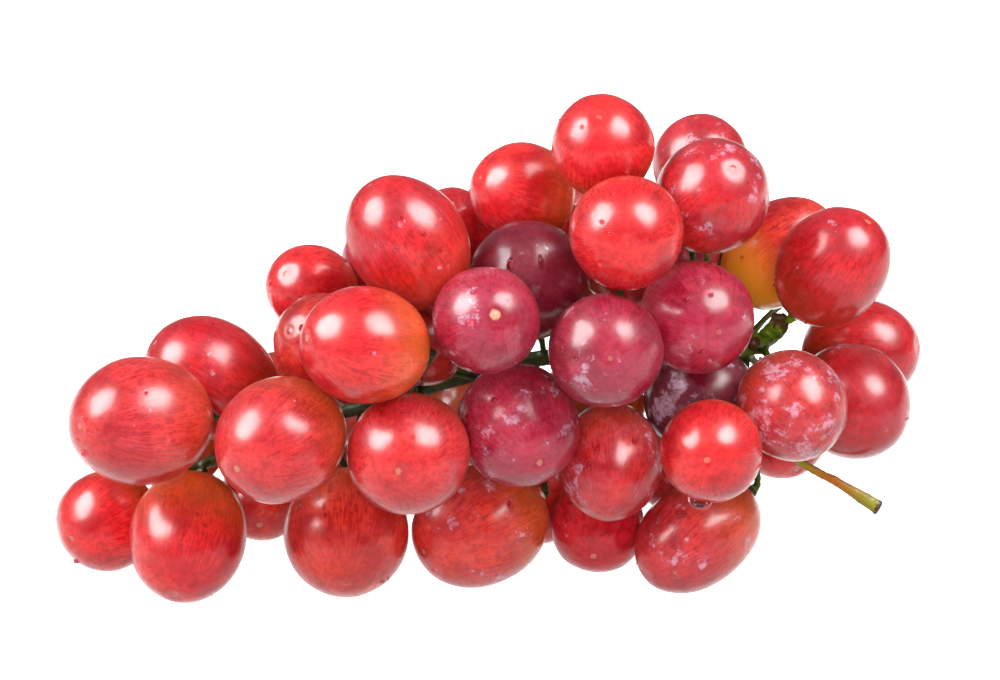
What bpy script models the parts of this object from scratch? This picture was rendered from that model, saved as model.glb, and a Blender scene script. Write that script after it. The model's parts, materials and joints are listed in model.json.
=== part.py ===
"""A bunch of large red table grapes, lying on its side as picked.

Each grape is a solid of its own. The stalk is one more: its main stem runs along the middle of the bunch, and
grows a branch and a short foot to the stem end of every grape. The bunch's tip is at -X and its stalk at +X,
and it lies on the plane Z = 0.
"""

import heapq
import math
import random
from collections import namedtuple

import bmesh
import bpy
import numpy as np
from mathutils import Matrix, Vector

# Sizes and places below are in millimetres, and become metres where a mesh is made.
MM = 0.001

# The line of sight along which the front of the bunch was measured.
SIGHT_LIFT = math.radians(18)
SIGHT_REACH = 750.0
SIGHT_HEIGHT = 51.5

# Grapes
PLUMPNESS = 1.025
GRAPE_GAP = 0.4
FLAT_DEPTH = 0.4
GRAPE_SIDES = 14
GRAPE_RINGS = 8
HIDDEN_GRAPES = 20
HIDDEN_LENGTH = (18.5, 28.5)
HIDDEN_SLIMNESS = (0.87, 0.95)
SETTLE_ROUNDS = 500

# Stem
STEM_GAP = 0.45
STEM_SIDES = 5
FOOT_RADIUS = 0.85
FOOT_FLARE = 1.9
FOOT_LENGTH = 2.2
MAIN_STEM_RADIUS = (1.2, 2.3)
BRANCH_GROWTH = 0.30
STALK_RADIUS = 0.9
STALK_FLARE = 1.65
BROKEN_RADII = (1.9, 1.7, 1.3)
MAIN_STEM_SIDES = 7
WAY_STEP = 2.0
WAY_ROOM = 1.35
SHOWING_COST = 2.0
POINT_SPACING = 6.0

# The main stem's line as it shows between the grapes: across, up, behind
MAIN_STEM_LINE = [
    (-80.0, -31.0, 3.0),
    (-63.0, -26.5, 5.0),
    (-38.0, -17.0, 6.0),
    (-13.0, -9.5, 7.0),
    (8.0, -4.0, 10.0),
    (34.0, -2.5, 13.0),
    (54.0, -1.5, 12.0),
    (59.0, 0.5, 9.0),
    (61.5, 5.0, 7.0),
]
# A broken-off side branch on the knot where the main stem ends, from root to tip
BROKEN_BRANCH = [(57.5, 0.0, 9.0), (55.5, 0.0, 3.5), (54.8, -1.5, 0.0)]
# The bare stalk at the bunch's thick end, out to its flared cut end
STALK_LINE = [(65.0, -26.5, 3.0), (73.5, -31.0, 1.0), (82.5, -36.5, -1.0)]

# Every grape that shows from the front: place across and up in the plane of measure and behind it (None where
# the grape rests on the surface), length, width, the way its blossom end points (right, up, towards the eye),
# and its colour.
Shown = namedtuple("Shown", "across up behind length width points colour")
SHOWN_GRAPES = [
    Shown(-78.0, -17.6, -25, 32.0, 27.6, (-0.76, -0.05, 0.65), "rose"),
    Shown(-62.6, -8.4, 0, 30.6, 25.2, (-0.75, 0.50, 0.40), "crimson"),
    Shown(-67.8, -42.6, None, 29.0, 25.0, (-0.15, -0.85, 0.50), "scarlet"),
    Shown(-85.0, -39.6, None, 22.6, 21.3, (-0.60, -0.30, 0.74), "scarlet"),
    Shown(-47.4, -21.7, -26, 29.8, 26.4, (-0.57, -0.39, 0.72), "rose"),
    Shown(-29.3, -1.1, -42, 28.8, 25.0, (-0.85, 0.10, 0.50), "scarlet"),
    Shown(-20.2, -24.6, -31, 27.5, 26.0, (-0.13, -0.24, 0.96), "rose"),
    Shown(-20.0, 21.1, -25, 31.0, 25.0, (-0.42, 0.80, 0.42), "crimson"),
    Shown(-40.9, 11.1, -1, 20.5, 19.0, (-0.50, 0.30, 0.80), "scarlet"),
    Shown(-38.3, -0.4, -16, 22.5, 20.6, (-0.60, 0.20, 0.77), "amber"),
    Shown(-3.0, 4.3, -38, 24.0, 22.8, (0.16, 0.09, 0.98), "plum"),
    Shown(23.0, -2.2, -36, 25.4, 24.4, (0.05, -0.14, 0.99), "plum"),
    Shown(3.9, -18.5, -21, 27.4, 25.8, (0.34, -0.57, 0.75), "plum"),
    Shown(27.4, 23.3, -38, 25.2, 24.3, (0.00, -0.20, 0.98), "scarlet"),
    Shown(22.4, 42.2, -22, 22.6, 21.8, (-0.10, 0.50, 0.86), "scarlet"),
    Shown(5.0, 32.0, 0, 23.0, 21.4, (-0.60, 0.50, 0.62), "scarlet"),
    Shown(6.1, 13.0, -16, 27.6, 25.2, (-0.10, 0.40, 0.91), "plum"),
    Shown(46.1, 31.1, -20, 26.8, 24.2, (0.35, 0.55, 0.74), "crimson"),
    Shown(43.7, 38.0, 3, 22.0, 20.4, (0.20, 0.70, 0.68), "crimson"),
    Shown(42.8, 5.0, -21, 25.8, 24.0, (0.37, -0.30, 0.88), "plum"),
    Shown(60.7, 18.9, 17, 27.6, 21.4, (0.65, 0.55, 0.50), "amber"),
    Shown(72.2, 15.9, -5, 27.8, 23.2, (0.50, 0.68, 0.53), "crimson"),
    Shown(78.4, -2.6, 27, 25.4, 22.4, (0.90, 0.10, 0.42), "crimson"),
    Shown(76.7, -13.3, 3, 26.5, 24.0, (0.45, -0.45, 0.77), "crimson"),
    Shown(63.5, -14.3, -17, 25.0, 23.0, (0.60, -0.30, 0.74), "rose"),
    Shown(45.9, -24.1, -28, 23.1, 21.8, (-0.13, -0.13, 0.98), "scarlet"),
    Shown(43.5, -12.6, 0, 26.0, 24.0, (0.20, -0.20, 0.96), "plum"),
    Shown(24.1, -26.5, -8, 27.7, 22.0, (-0.03, -0.70, 0.71), "rose"),
    Shown(42.8, -41.3, None, 30.5, 22.0, (-0.74, -0.55, 0.38), "rose"),
    Shown(21.3, -39.8, None, 21.5, 20.0, (-0.10, -0.60, 0.79), "crimson"),
    Shown(-4.6, -40.7, None, 31.5, 25.6, (-0.80, -0.26, 0.54), "amber"),
    Shown(-33.0, -40.9, None, 27.8, 26.6, (-0.10, -0.60, 0.79), "amber"),
    Shown(-51.7, -34.3, None, 19.0, 18.0, (0.00, -0.60, 0.80), "amber"),
    Shown(8.3, -34.8, None, 21.0, 20.0, (0.00, -0.50, 0.86), "amber"),
    Shown(60.9, -19.6, 18, 21.0, 20.0, (0.30, -0.80, 0.50), "scarlet"),
    Shown(-10.4, 23.5, 10, 19.8, 18.0, (0.00, 0.60, 0.80), "crimson"),
    Shown(-25.0, 17.0, 3, 19.0, 18.0, (-0.50, 0.50, 0.60), "plum"),
    Shown(-16.3, -1.1, -12, 18.6, 17.4, (-0.30, 0.20, 0.90), "amber"),
]

# The rear of the bunch, which the front hides, tapers like a cone along the main stem from tip to shoulder.
REAR_START, REAR_END = -74.0, 76.0
REAR_REACH = (30.0, 54.0)
REAR_TRIES = 12000
GAP_SPACING = 2.0
GAP_SPREAD = 1.5
GAP_WORTH = 1.0
LENGTH_WORTH = 0.1
NESTLE_LIMIT = 25.0
REAR_COLOURS = ("scarlet", "crimson", "rose", "crimson", "plum")
# Gaps between the front grapes where the pale background shows through: across, up
SIGHT_GAPS = [(56.5, 5.4), (7.2, -4.3)]
HOLLOW_CORE = 9.0
TURN_TRIES = [0.0] + [0.05 + 0.004 * step for step in range(140)]
FOOT_ROOM = 1.7

SEED = 31

# sRGB colours, roughness and metallic value of each finish
COLOURS = {
    "scarlet": (0.80, 0.10, 0.07),
    "rose": (0.78, 0.20, 0.17),
    "crimson": (0.58, 0.06, 0.10),
    "plum": (0.38, 0.08, 0.14),
    "amber": (0.74, 0.22, 0.08),
    "stem": (0.36, 0.40, 0.12),
}
GRAPE_ROUGHNESS = 0.25
STEM_ROUGHNESS = 0.6

TO_RIGHT = np.array([1.0, 0.0, 0.0])
SIGHT = np.array([0.0, math.cos(SIGHT_LIFT), -math.sin(SIGHT_LIFT)])
SIGHT_UP = np.array([0.0, math.sin(SIGHT_LIFT), math.cos(SIGHT_LIFT)])
AIM = np.array([0.0, 0.0, SIGHT_HEIGHT])
DOWN = np.array([0.0, 0.0, -1.0])


def clear_scene():
    for old in list(bpy.data.objects):
        bpy.data.objects.remove(old, do_unlink=True)


def linear(value):
    """One sRGB colour value as the linear value that a shader takes."""
    return value / 12.92 if value <= 0.04045 else ((value + 0.055) / 1.055) ** 2.4


def make_material(name, roughness):
    material = bpy.data.materials.new(name)
    material.use_nodes = True
    shader = material.node_tree.nodes["Principled BSDF"]
    shader.inputs["Base Color"].default_value = (*(linear(v) for v in COLOURS[name]), 1.0)
    shader.inputs["Roughness"].default_value = roughness
    shader.inputs["Metallic"].default_value = 0.0
    material.diffuse_color = shader.inputs["Base Color"].default_value
    return material


def unit(vector):
    vector = np.asarray(vector, float)
    return vector / np.linalg.norm(vector)


# Line of sight

def place(across, up, behind):
    """The point that shows at (across, up) in the plane of measure, this far behind it."""
    return AIM + (TO_RIGHT * across + SIGHT_UP * up) * (SIGHT_REACH + behind) / SIGHT_REACH + SIGHT * behind


def seen_at(point):
    """Across, up and behind of a point: place, the other way round."""
    offset = point - AIM
    behind = offset @ SIGHT
    scale = SIGHT_REACH / (SIGHT_REACH + behind)
    return offset @ TO_RIGHT * scale, offset @ SIGHT_UP * scale, behind


def sight_direction(points):
    right, up, towards = points
    return unit(TO_RIGHT * right + SIGHT_UP * up - SIGHT * towards)


# Grapes as ellipsoids of revolution

def half_extent(long_half, wide_half, axis, direction):
    """How far an ellipsoid reaches from its centre along a unit direction."""
    share = np.sum(axis * direction, axis=-1)
    return np.sqrt(wide_half**2 + (long_half**2 - wide_half**2) * share**2)


def grape_frame(axis):
    """Rows: two directions across the grape's axis, and the axis."""
    side = unit(np.cross(axis, [0.0, 1.0, 0.0] if abs(axis[1]) < 0.9 else [1.0, 0.0, 0.0]))
    return np.array([side, np.cross(axis, side), axis])


def grape_points(long_half, wide_half, axis):
    """The grape's own mesh points about its centre: poles first, then ring after ring."""
    points = [(0.0, 0.0, long_half), (0.0, 0.0, -long_half)]
    for ring in range(1, GRAPE_RINGS):
        lean = math.pi * ring / GRAPE_RINGS
        for side in range(GRAPE_SIDES):
            turn = 2 * math.pi * side / GRAPE_SIDES
            wide = wide_half * math.sin(lean)
            points.append((wide * math.cos(turn), wide * math.sin(turn), long_half * math.cos(lean)))
    return np.array(points) @ grape_frame(axis)


class Bunch:
    """The grapes' centres, axes and half sizes, as arrays that grow as grapes are added."""

    def __init__(self):
        self.centre = np.empty((0, 3))
        self.axis = np.empty((0, 3))
        self.long_half = np.empty(0)
        self.wide_half = np.empty(0)
        self.home = []
        self.colour = []
        self.rest_height = np.empty(0)
        self.rests = np.empty(0, bool)

    def add(self, centre, axis, length, width, colour, home=None, rests=False):
        self.centre = np.vstack([self.centre, centre])
        self.axis = np.vstack([self.axis, axis])
        self.long_half = np.append(self.long_half, length / 2)
        self.wide_half = np.append(self.wide_half, width / 2)
        self.home.append(home)
        self.colour.append(colour)
        self.rests = np.append(self.rests, rests)
        lowest = grape_points(length / 2, width / 2, axis)[:, 2].min()
        self.rest_height = np.append(self.rest_height, -lowest - FLAT_DEPTH)

    def reach(self, index, direction):
        return half_extent(self.long_half[index], self.wide_half[index], self.axis[index], direction)


def add_shown_grapes(bunch):
    for grape in SHOWN_GRAPES:
        axis = sight_direction(grape.points)
        behind = grape.behind
        if behind is None:
            height = half_extent(grape.length / 2, grape.width / 2, axis, DOWN) - FLAT_DEPTH
            flat = AIM + (TO_RIGHT * grape.across + SIGHT_UP * grape.up)
            behind = (flat[2] - height) / math.sin(SIGHT_LIFT)
        scale = (SIGHT_REACH + behind) / SIGHT_REACH * PLUMPNESS
        home = (grape.across, grape.up)
        centre = place(grape.across, grape.up, behind)
        rests = grape.behind is None
        bunch.add(centre, axis, grape.length * scale, grape.width * scale, grape.colour, home, rests)


def main_stem_points():
    """The main stem as a smooth line of points, from tip to shoulder."""
    knots = np.array([place(*knot) for knot in MAIN_STEM_LINE])
    ends = np.vstack([2 * knots[0] - knots[1], knots, 2 * knots[-1] - knots[-2]])
    line = []
    for index in range(1, len(ends) - 2):
        before, start, end, after = ends[index - 1 : index + 3]
        steps = max(2, round(np.linalg.norm(end - start) / WAY_STEP))
        for step in range(steps):
            t = step / steps
            line.append(
                0.5 * (2 * start + (end - before) * t + (2 * before - 5 * start + 4 * end - after) * t**2
                       + (3 * start - before - 3 * end + after) * t**3)
            )
    return np.array(line + [knots[-1]])


def main_stem_radius(share):
    thin, thick = MAIN_STEM_RADIUS
    return thin + (thick - thin) * share


def settle(bunch, core, core_radius, rounds=SETTLE_ROUNDS):
    """Moves grapes apart until none touches its neighbours or the main stem. A shown grape slides along its line of
    sight rather than across it, so that it keeps its place in the picture."""
    count = len(bunch.centre)
    first, second = np.triu_indices(count, 1)
    for _ in range(rounds):
        offset = bunch.centre[second] - bunch.centre[first]
        distance = np.linalg.norm(offset, axis=1)
        direction = offset / distance[:, None]
        need = bunch.reach(first, direction) + bunch.reach(second, direction) + GRAPE_GAP
        close = need > distance
        push = np.zeros_like(bunch.centre)
        for i, j, way, lack in zip(first[close], second[close], direction[close], (need - distance)[close]):
            along_sight = SIGHT * (way @ SIGHT)
            move = way * 0.35 + along_sight * 0.65
            move *= min(lack / max(move @ way, 1e-6), lack / np.linalg.norm(move)) / 2
            push[i] -= move
            push[j] += move
        for i in range(count):
            away = bunch.centre[i] - core
            far = np.linalg.norm(away, axis=1)
            ways = away / far[:, None]
            lack = half_extent(bunch.long_half[i], bunch.wide_half[i], bunch.axis[i], ways)
            lack = lack + core_radius + STEM_GAP - far
            worst = int(np.argmax(lack))
            if lack[worst] > 0:
                push[i] += ways[worst] * lack[worst] * 0.5
        bunch.centre = bunch.centre + push * 0.6
        for i, home in enumerate(bunch.home):
            if home:
                behind = seen_at(bunch.centre[i])[2]
                bunch.centre[i] += (place(*home, behind) - bunch.centre[i]) * 0.05
        height = np.maximum(bunch.centre[:, 2], bunch.rest_height)
        bunch.centre[:, 2] = np.where(bunch.rests, bunch.rest_height, height)
        if not close.any():
            break


def outline(centre, axis, long_half, wide_half, points=16):
    """Points round the edge of a grape as seen along the line of sight, and their grape's depth."""
    eye = AIM - SIGHT * SIGHT_REACH
    frame = grape_frame(axis)
    sizes = np.array([wide_half, wide_half, long_half])
    towards = frame @ (eye - centre) / sizes
    far = np.linalg.norm(towards)
    towards = towards / far
    across = unit(np.cross(towards, [0.3, 0.5, 0.8]))
    over = np.cross(towards, across)
    turn = np.linspace(0, 2 * math.pi, points, endpoint=False)[:, None]
    ring = towards / far + math.sqrt(1 - 1 / far**2) * (across * np.cos(turn) + over * np.sin(turn))
    return [seen_at(centre + (spot * sizes) @ frame)[:2] for spot in ring]


def covered(spots, depth, discs):
    """Whether every spot lies inside the outline of a nearer shown grape."""
    for spot in spots:
        inside = False
        for disc_depth, middle, shape in discs:
            if disc_depth < depth:
                offset = np.array(spot) - middle
                if offset @ shape @ offset < 1:
                    inside = True
                    break
        if not inside:
            return False
    return True


def shown_discs(bunch):
    """Each shown grape's outline as an ellipse: its depth, middle and the matrix of its shape."""
    discs = []
    for i, home in enumerate(bunch.home):
        if home is None:
            continue
        edge = np.array(outline(bunch.centre[i], bunch.axis[i], bunch.long_half[i], bunch.wide_half[i]))
        middle = edge.mean(axis=0)
        spread = (edge - middle).T @ (edge - middle) * 2 / len(edge)
        discs.append((seen_at(bunch.centre[i])[2], middle, np.linalg.inv(spread)))
    return discs


def open_gaps(discs):
    """Spots between the front grapes where light would come through from behind, apart from those that are kept."""
    gaps = []
    for across in np.arange(-80, 85, GAP_SPACING):
        for up in np.arange(-45, 45, GAP_SPACING):
            spot = np.array([across, up])
            levels = [(spot - middle) @ shape @ (spot - middle) for _, middle, shape in discs]
            near_some = sum(level < GAP_SPREAD**2 for level in levels) > 1
            kept = any(math.dist(spot, gap) < 6 for gap in SIGHT_GAPS)
            if near_some and not kept and min(levels) > 1:
                gaps.append(spot)
    return np.array(gaps)


def add_hidden_grapes(bunch, core, core_radius, rng):
    """Fills the rear: each grape takes, out of many seeded places, the one that nestles closest to three others and
    shuts most of the gaps that the front grapes leave."""
    discs = shown_discs(bunch)
    gaps = open_gaps(discs)
    tries = []
    for _ in range(REAR_TRIES):
        share = rng.random()
        stem_point = core[round(share * (len(core) - 1))]
        reach = REAR_REACH[0] + (REAR_REACH[1] - REAR_REACH[0]) * math.sin(share * math.pi * 0.62)
        turn = rng.uniform(-0.75, 0.62) * math.pi
        outward = np.array([rng.uniform(-0.35, 0.35), math.cos(turn), math.sin(turn)])
        length = rng.uniform(*HIDDEN_LENGTH)
        width = length * rng.uniform(*HIDDEN_SLIMNESS)
        far = rng.uniform(HOLLOW_CORE + width / 2, reach - length / 2)
        centre = stem_point + unit(outward) * far
        axis = unit(unit(outward) + np.array([rng.uniform(-0.35, 0.35) for _ in range(3)]))
        height = -grape_points(length / 2, width / 2, axis)[:, 2].min() - FLAT_DEPTH
        if centre[2] < height + 3.0:
            centre[2] = height
        if REAR_START < centre[0] < REAR_END:
            edge = outline(centre, axis, length / 2, width / 2)
            shut = any(math.dist(gap, np.mean(edge, axis=0)) < length / 2 + 0.5 for gap in SIGHT_GAPS)
            if not shut and covered(edge, seen_at(centre)[2], discs):
                tries.append((centre, axis, length, width))
    for number in range(HIDDEN_GRAPES):
        best_score, free = math.inf, []
        for grape in tries:
            centre, axis, length, width = grape
            offset = bunch.centre - centre
            distance = np.linalg.norm(offset, axis=1)
            if distance.min() < width / 2:
                continue
            direction = offset / distance[:, None]
            room = distance - half_extent(length / 2, width / 2, axis, direction)
            room -= half_extent(bunch.long_half, bunch.wide_half, bunch.axis, direction)
            away = core - centre
            far = np.linalg.norm(away, axis=1)
            core_room = far - half_extent(length / 2, width / 2, axis, away / far[:, None]) - core_radius
            if room.min() < GRAPE_GAP or core_room.min() < STEM_GAP:
                continue
            free.append(grape)
            nestling = np.sort(room)[:3].sum()
            if nestling > NESTLE_LIMIT:
                continue
            across, up, behind = seen_at(centre)
            shut = np.hypot(gaps[:, 0] - across, gaps[:, 1] - up) < width / 2 * SIGHT_REACH / (SIGHT_REACH + behind)
            score = nestling - GAP_WORTH * shut.sum() - LENGTH_WORTH * length
            if score < best_score:
                best, best_score, best_shut = grape, score, shut
        if best_score == math.inf:
            break
        bunch.add(*best, REAR_COLOURS[number % len(REAR_COLOURS)])
        gaps = gaps[~best_shut]
        tries = free


# Stem

def room_around(bunch, points, skip=None):
    """How far each point is from the nearest grape's skin, nearly, and the way out of that grape."""
    room = np.full(len(points), math.inf)
    way = np.zeros((len(points), 3))
    for i in range(len(bunch.centre)):
        if i == skip:
            continue
        frame = grape_frame(bunch.axis[i])
        sizes = np.array([bunch.wide_half[i], bunch.wide_half[i], bunch.long_half[i]])
        local = (points - bunch.centre[i]) @ frame.T / sizes
        level = np.linalg.norm(local, axis=1)
        slope = (local / sizes) / np.maximum(level, 1e-9)[:, None]
        steep = np.maximum(np.linalg.norm(slope, axis=1), 1e-9)
        here = (level - 1) / steep
        nearer = here < room
        room[nearer] = here[nearer]
        way[nearer] = ((slope / steep[:, None]) @ frame)[nearer]
    return room, way


def foot_point(bunch, index, beyond=0.0):
    """The point where a grape's foot ends, just off its stem end, or farther out by the given length."""
    far = bunch.long_half[index] + STEM_GAP + beyond
    return bunch.centre[index] - bunch.axis[index] * far


def nearest_cells(cells, point, count=1):
    return np.argsort(np.linalg.norm(cells - point, axis=1))[:count]


def showing(bunch, points):
    """Whether each point shows from the front, between the grapes."""
    offset = points - AIM
    behind = offset @ SIGHT
    scale = SIGHT_REACH / (SIGHT_REACH + behind)
    spots = np.column_stack([offset @ TO_RIGHT * scale, offset @ SIGHT_UP * scale])
    shows = np.ones(len(points), bool)
    for depth, middle, shape in shown_discs(bunch):
        away = spots - middle
        shows &= (depth > behind) | (np.einsum("ij,jk,ik->i", away, shape, away) > 1)
    return shows


def find_ways(bunch, core, targets):
    """Shortest ways from the main stem through the gaps between the grapes to each target, on a lattice of points.
    A way where a branch would show from the front counts as longer than it is. Gives the lattice points and, for
    each one that is used, the point before it."""
    low = bunch.centre.min(axis=0) - 16
    counts = np.ceil((bunch.centre.max(axis=0) + 16 - low) / WAY_STEP).astype(int)
    lattice = np.stack(np.meshgrid(*(np.arange(count) for count in counts), indexing="ij"), axis=-1).reshape(-1, 3)
    points = low + lattice * WAY_STEP
    room = room_around(bunch, points)[0]
    free = (room > WAY_ROOM) & (room < 9.0) & (points[:, 2] > WAY_ROOM + 1)
    lattice, points, room = lattice[free], points[free], room[free]
    dear = 1 + SHOWING_COST * showing(bunch, points)
    number = {tuple(key): i for i, key in enumerate(lattice)}
    steps = [(x, y, z) for x in (-1, 0, 1) for y in (-1, 0, 1) for z in (-1, 0, 1) if (x, y, z) != (0, 0, 0)]
    cost = np.full(len(points), math.inf)
    before = np.full(len(points), -1)
    queue = []
    for spot in core[2:-1]:
        cell = int(nearest_cells(points, spot)[0])
        if np.linalg.norm(points[cell] - spot) < 2 * WAY_STEP and cost[cell] > 0:
            cost[cell] = 0.0
            queue.append((0.0, cell))
    heapq.heapify(queue)
    while queue:
        so_far, cell = heapq.heappop(queue)
        if so_far > cost[cell]:
            continue
        for step in steps:
            other = number.get(tuple(lattice[cell] + step))
            if other is None:
                continue
            length = WAY_STEP * math.sqrt(sum(abs(s) for s in step))
            total = so_far + length * dear[other] * (1 + 1.2 / room[other])
            if total < cost[other] - 1e-9:
                cost[other] = total
                before[other] = cell
                heapq.heappush(queue, (total, other))
    reachable = np.flatnonzero(np.isfinite(cost))
    used = {}
    ends = []
    for target in targets:
        near = reachable[nearest_cells(points[reachable], target, 12)]
        gaps = np.linalg.norm(points[near] - target, axis=1)
        cell = int(near[np.argmin(gaps + 0.15 * cost[near])])
        ends.append(cell)
        while cell not in used:
            used[cell] = int(before[cell])
            if before[cell] < 0:
                break
            cell = int(before[cell])
    return points, used, ends


def overlap_room(bunch, index, axis):
    """The least room between one grape, turned to this axis, and the others."""
    others = np.arange(len(bunch.centre)) != index
    offset = bunch.centre[others] - bunch.centre[index]
    distance = np.linalg.norm(offset, axis=1)
    direction = offset / distance[:, None]
    reach = half_extent(bunch.long_half[index], bunch.wide_half[index], axis, direction)
    return (distance - reach - bunch.reach(others, direction)).min()


def free_feet(bunch, rng):
    """Turns each grape whose stem end is shut in by its neighbours, as little as it takes to free it."""
    for i in range(len(bunch.centre)):
        old = bunch.axis[i].copy()
        for tilt in TURN_TRIES:
            bunch.axis[i] = unit(old + tilt * np.array([rng.uniform(-1, 1) for _ in range(3)]))
            spots = np.array([foot_point(bunch, i, beyond) for beyond in (0.0, FOOT_LENGTH, FOOT_LENGTH + 1.5)])
            open_foot = room_around(bunch, spots, skip=i)[0].min() > FOOT_ROOM and spots[:, 2].min() > FOOT_ROOM
            lowest = grape_points(bunch.long_half[i], bunch.wide_half[i], bunch.axis[i])[:, 2].min()
            rests = bunch.centre[i][2] < bunch.rest_height[i] + 0.01
            stands = bunch.centre[i][2] + lowest > -FLAT_DEPTH - 0.01 or rests
            if open_foot and stands and (tilt == 0 or overlap_room(bunch, i, bunch.axis[i]) > GRAPE_GAP - 0.05):
                if rests:
                    bunch.centre[i][2] = -lowest - FLAT_DEPTH
                break
        else:
            bunch.axis[i] = old


class Twig:
    """A point of the stem's tree: where it is, the one that it grows from and how many grapes it carries."""

    def __init__(self, point, parent, fixed=False):
        self.point = point
        self.parent = parent
        self.fixed = fixed
        self.children = []
        self.load = 0
        if parent:
            parent.children.append(self)


def grow_tree(bunch, core):
    """The stem's tree: main stem, branches along the shortest ways, and a foot to each grape."""
    targets = [foot_point(bunch, i, FOOT_LENGTH + 1.5) for i in range(len(bunch.centre))]
    targets.append(place(*STALK_LINE[0]))
    points, used, ends = find_ways(bunch, core, targets)
    twigs = []
    main_stem = [Twig(core[-1], None, fixed=True)]
    for spot in core[-2::-1]:
        main_stem.append(Twig(spot, main_stem[-1], fixed=True))
    twigs.extend(main_stem)
    made = {}

    def twig_of(cell):
        if cell not in made:
            if used[cell] < 0:
                nearest = min(main_stem, key=lambda twig: np.linalg.norm(twig.point - points[cell]))
                made[cell] = Twig(points[cell], nearest)
            else:
                made[cell] = Twig(points[cell], twig_of(used[cell]))
            twigs.append(made[cell])
        return made[cell]

    feet = []
    for i, cell in enumerate(ends[:-1]):
        neck = Twig(foot_point(bunch, i, FOOT_LENGTH), twig_of(cell), fixed=True)
        foot = Twig(foot_point(bunch, i), neck, fixed=True)
        twigs.extend([neck, foot])
        feet.append(foot)
    stalk = twig_of(ends[-1])
    for spot in STALK_LINE:
        stalk = Twig(place(*spot), stalk, fixed=True)
        twigs.append(stalk)
    feet.append(stalk)
    for foot in feet:
        twig = foot
        while twig:
            twig.load += 1
            twig = twig.parent
    return main_stem, twigs, feet


def twig_radius(twig):
    return min(FOOT_RADIUS * max(twig.load, 1) ** BRANCH_GROWTH, MAIN_STEM_RADIUS[1])


def smooth_tree(bunch, twigs, rounds=60):
    """Draws the branches' zigzags straight, and holds them off the grapes."""
    loose = [twig for twig in twigs if not twig.fixed]
    for _ in range(rounds):
        means = []
        for twig in loose:
            around = [twig.parent.point] + [child.point for child in twig.children]
            means.append(sum(around) / len(around))
        points = np.array([twig.point * 0.4 + mean * 0.6 for twig, mean in zip(loose, means)])
        for _ in range(2):
            room, way = room_around(bunch, points)
            lack = np.array([twig_radius(twig) for twig in loose]) + STEM_GAP + 0.15 - room
            points = points + way * np.maximum(lack, 0)[:, None]
        for twig, point in zip(loose, points):
            twig.point = point


def tube(points, radii, sides):
    """A closed round tube along a line of points, as a bmesh in metres."""
    points = [Vector((point * MM).tolist()) for point in points]
    shape = bmesh.new()
    rings = []
    side = None
    for i, point in enumerate(points):
        ahead = points[min(i + 1, len(points) - 1)] - points[max(i - 1, 0)]
        ahead.normalize()
        side = side or ahead.orthogonal()
        side = (side - ahead * side.dot(ahead)).normalized()
        over = ahead.cross(side)
        ring = []
        for number in range(sides):
            turn = 2 * math.pi * number / sides
            ring.append(shape.verts.new(point + (side * math.cos(turn) + over * math.sin(turn)) * radii[i] * MM))
        rings.append(ring)
    for ring, after in zip(rings, rings[1:]):
        for number in range(sides):
            other = (number + 1) % sides
            shape.faces.new((ring[number], ring[other], after[other], after[number]))
    shape.faces.new(rings[0][::-1])
    shape.faces.new(rings[-1])
    return shape


def thinned(points, radii):
    """Leaves out points that lie closer than the spacing, but keeps the first and the last two."""
    kept = [0]
    for i in range(1, len(points)):
        last_two = i >= len(points) - 2
        if last_two or np.linalg.norm(points[i] - points[kept[-1]]) >= POINT_SPACING:
            kept.append(i)
    if len(kept) > 3 and np.linalg.norm(points[kept[-2]] - points[kept[-3]]) < POINT_SPACING / 3:
        kept.pop(-3)
    return [points[i] for i in kept], [radii[i] for i in kept]


def add_solid(name, shape, collection):
    bmesh.ops.recalc_face_normals(shape, faces=shape.faces)
    mesh = bpy.data.meshes.new(name)
    shape.to_mesh(mesh)
    shape.free()
    solid = bpy.data.objects.new(name, mesh)
    collection.objects.link(solid)
    return solid


def foot_radii(bunch, feet):
    """The flare of each foot: as wide as its neighbours leave room for."""
    flares = {}
    for i, foot in enumerate(feet[:-1]):
        spots = np.array([foot.point, foot.parent.point])
        room = room_around(bunch, spots, skip=i)[0]
        flares[id(foot)] = min(FOOT_FLARE, room[0] - STEM_GAP)
        flares[id(foot.parent)] = min(FOOT_RADIUS, room[1] - STEM_GAP)
    flares[id(feet[-1])] = STALK_FLARE
    for twig in (feet[-1].parent, feet[-1].parent.parent):
        flares[id(twig)] = STALK_RADIUS
    return flares


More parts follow.
